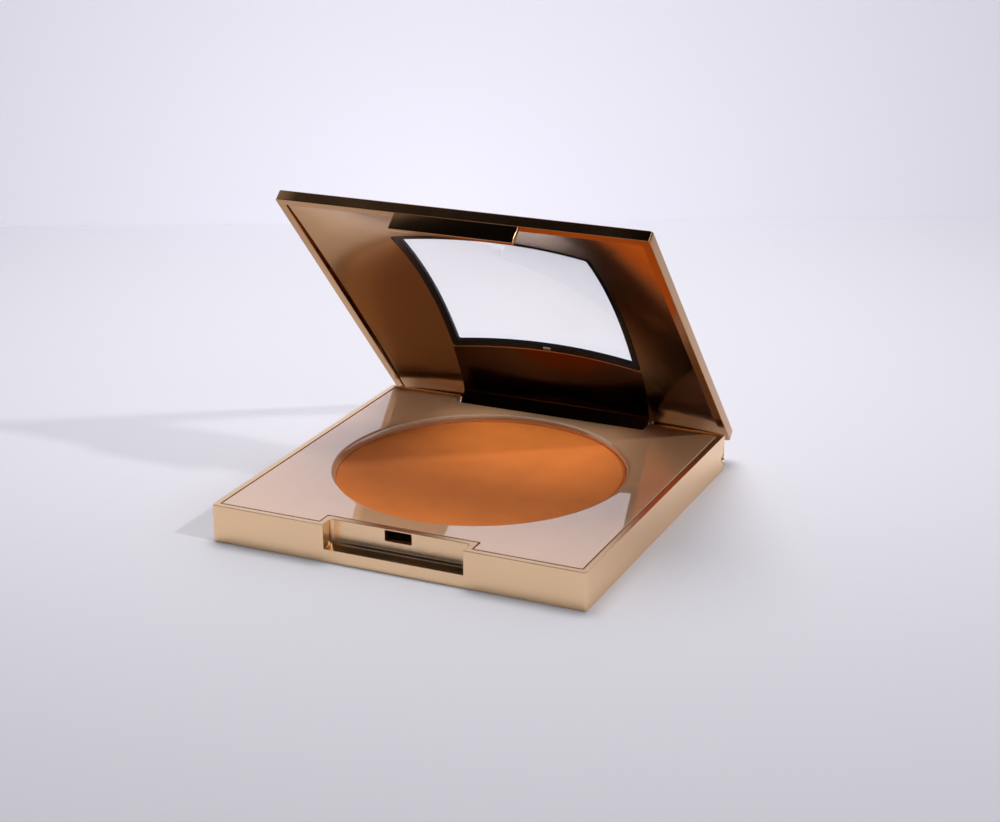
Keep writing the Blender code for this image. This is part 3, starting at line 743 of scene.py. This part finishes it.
# %% Mould the pane
pane = (WINDOW[0] + 1.6 * MM, WINDOW[1] + 1.6 * MM, 0.8 * MM)
middle = (0.6 * MM, 0.6 * MM, 0.1 * MM)
rings = sweep(middle, pane, outer, 22) + sweep(pane, middle, inner, 22)
lens = new_object("window_pane", loft(rings))
round_edges(lens, 0.08 * MM, 2, 50)
settle(lens, clear_acrylic, "lid", "clear_acrylic", "window_lens", lid=True)

# %% Mould the black frame
frame_out = (WINDOW[0] + 1.45 * MM, WINDOW[1] + 1.45 * MM, 0.7 * MM)
frame_in = (*WINDOW, 0.5 * MM)
upper, under = dome(1.3 * MM, INNER_RISE), dome(0.5 * MM, INNER_RISE)
rings = sweep(frame_in, frame_out, upper, 3) + sweep(frame_out, frame_in, under, 3)
bezel = new_object("window_frame_black", loft(rings, joined=True))
round_edges(bezel, 0.14 * MM, 3, 50)
gate_z = under(0, WINDOW[1] + 0.6 * MM)
gate = new_object("pane_gate_tab", soften(block(
    (-0.8 * MM, WINDOW[1] + 0.35 * MM, gate_z - 0.30 * MM),
    (0.8 * MM, WINDOW[1] + 1.05 * MM, gate_z + 0.3 * MM)), lambda a, b: True, 0.12 * MM, 2))
settle(bezel, bezel_black, "lid", "bezel_black", "window_bezel", lid=True)
settle(gate, frosted_acrylic, "lid", "clear_acrylic", lid=True)

# %% [markdown]
# ## The table and the light
#
# The compact stands on a pale table, in front of a pale wall. Mirror-like metal shows its
# surroundings more than itself: the deck and the walls look light because they mirror the
# table and the wall, and the edge of the lid looks nearly black because it mirrors an unlit
# ceiling. So the room is dark above the viewer, and the wall itself glows. One lamp on the
# right throws the soft shadow. A broad panel beside it and a soft lamp overhead even out the
# table, and both are hidden from mirrors, which would otherwise show them as white spots.

# %% Table and wall
def stage_plane(name, corners, colour):
    mesh = bpy.data.meshes.new(name)
    mesh.from_pydata(corners, [], [range(len(corners))])
    obj = bpy.data.objects.new(name, mesh)
    bpy.context.scene.collection.objects.link(obj)
    mat, tree, shader = start_finish(name, colour, Roughness=0.9)
    shader.inputs["Specular IOR Level"].default_value = 0.1
    mesh.materials.append(mat)
    return obj


away = Vector((-math.sin(math.radians(25)), math.cos(math.radians(25)), 0))
along = Vector((away.y, -away.x, 0))
wall_foot = Vector((-0.0875, 0.198, 0))
REACH = 1.6
table = stage_plane("table", [wall_foot - along * REACH, wall_foot + along * REACH,
                              wall_foot + along * REACH - away * 2 * REACH,
                              wall_foot - along * REACH - away * 2 * REACH], (0.80, 0.79, 0.84))
wall = stage_plane("wall", [wall_foot - along * REACH, wall_foot + along * REACH,
                            wall_foot + along * REACH + Vector((0, 0, REACH)),
                            wall_foot - along * REACH + Vector((0, 0, REACH))],
                   (0.30, 0.30, 0.32))

print("stage:", table.name, wall.name)

# %% The wall is a light panel, brightest behind the compact
tree = wall.data.materials[0].node_tree
shader = tree.nodes["Principled BSDF"]
place = tree.nodes.new("ShaderNodeTexCoord")
shift = tree.nodes.new("ShaderNodeMapping")
shift.vector_type = "TEXTURE"
shift.inputs["Location"].default_value = wall_foot - along * 0.02
shift.inputs["Scale"].default_value = (0.30, 0.30, 0.30)
glow = tree.nodes.new("ShaderNodeTexGradient")
glow.gradient_type = "SPHERICAL"
tree.links.new(place.outputs["Object"], shift.inputs["Vector"])
tree.links.new(shift.outputs["Vector"], glow.inputs["Vector"])
tree.links.new(two_tones(tree, glow.outputs["Fac"], (0.325, 0.318, 0.362), (0.735, 0.72, 0.815)),
               shader.inputs["Emission Color"])
shader.inputs["Emission Strength"].default_value = 1.0
side_seen = tree.nodes.new("ShaderNodeNewGeometry")
open_view = tree.nodes.new("ShaderNodeBsdfTransparent")
one_way = tree.nodes.new("ShaderNodeMixShader")
tree.links.new(side_seen.outputs["Backfacing"], one_way.inputs["Fac"])
tree.links.new(shader.outputs["BSDF"], one_way.inputs[1])
tree.links.new(open_view.outputs["BSDF"], one_way.inputs[2])
tree.links.new(one_way.outputs["Shader"], tree.nodes["Material Output"].inputs["Surface"])
print("the wall is clear from behind, so the compact can be seen from every side")

# %% Lamps
def lamp(name, place, aim, size, power):
    """A round area lamp in white, aimed at a place."""
    data = bpy.data.lights.new(name, "AREA")
    data.energy, data.shape, data.size = power, "DISK", size
    obj = bpy.data.objects.new(name, data)
    bpy.context.scene.collection.objects.link(obj)
    obj.location = place
    obj.rotation_euler = (Vector(aim) - Vector(place)).to_track_quat("-Z", "Y").to_euler()
    return obj


key_way = Vector((-0.762, 0.047, -0.646)).normalized()
key = lamp("key", -key_way * 1.2, (0, 0, 0.01), 0.06, 3.4)
fill = lamp("fill", (-0.06, 0.10, 0.42), (-0.05, 0.07, 0), 0.30, 0.52)
fill.data.spread = math.radians(105)
side_panel = lamp("side_panel", (1.0, -0.10, 0.50), (0, 0, 0), 0.9, 1.0)
for light in (fill, side_panel):     # they light the table, and the metal doesn't mirror them
    light.visible_glossy = False
    light.visible_transmission = False
world = bpy.data.worlds.new("studio")
bpy.context.scene.world = world
world.use_nodes = True
world.node_tree.nodes["Background"].inputs["Color"].default_value = (0.9, 0.9, 1.0, 1)
world.node_tree.nodes["Background"].inputs["Strength"].default_value = 0.003
bpy.context.scene.view_settings.view_transform = "Standard"
print("lamps:", key.name, fill.name, side_panel.name)

# %% [markdown]
# ## The camera
#
# The viewer stands a little to the right of the front and looks down on the compact, from
# about half a metre away, through a long lens.

# %% Camera
turn, rise, roll = (math.radians(v) for v in (25.013, 20.277, -0.515))
back = Vector((math.sin(turn) * math.cos(rise), -math.cos(turn) * math.cos(rise), math.sin(rise)))
right = Vector((math.cos(turn), math.sin(turn), 0))
up = back.cross(right)
side, top = (right * math.cos(roll) + up * math.sin(roll),
             up * math.cos(roll) - right * math.sin(roll))
camera_data = bpy.data.cameras.new("camera")
camera_data.lens, camera_data.sensor_width = 74.87, 36.0
camera_data.clip_start = 0.01
camera = bpy.data.objects.new("camera", camera_data)
bpy.context.scene.collection.objects.link(camera)
eye = Vector((-18.62 * MM, 50.27 * MM, 0)) + back * 468.4 * MM
camera.matrix_world = Matrix.Translation(eye) @ Matrix((side, top, back)).transposed().to_4x4()
bpy.context.scene.camera = camera
print("camera at", [round(v, 3) for v in eye])
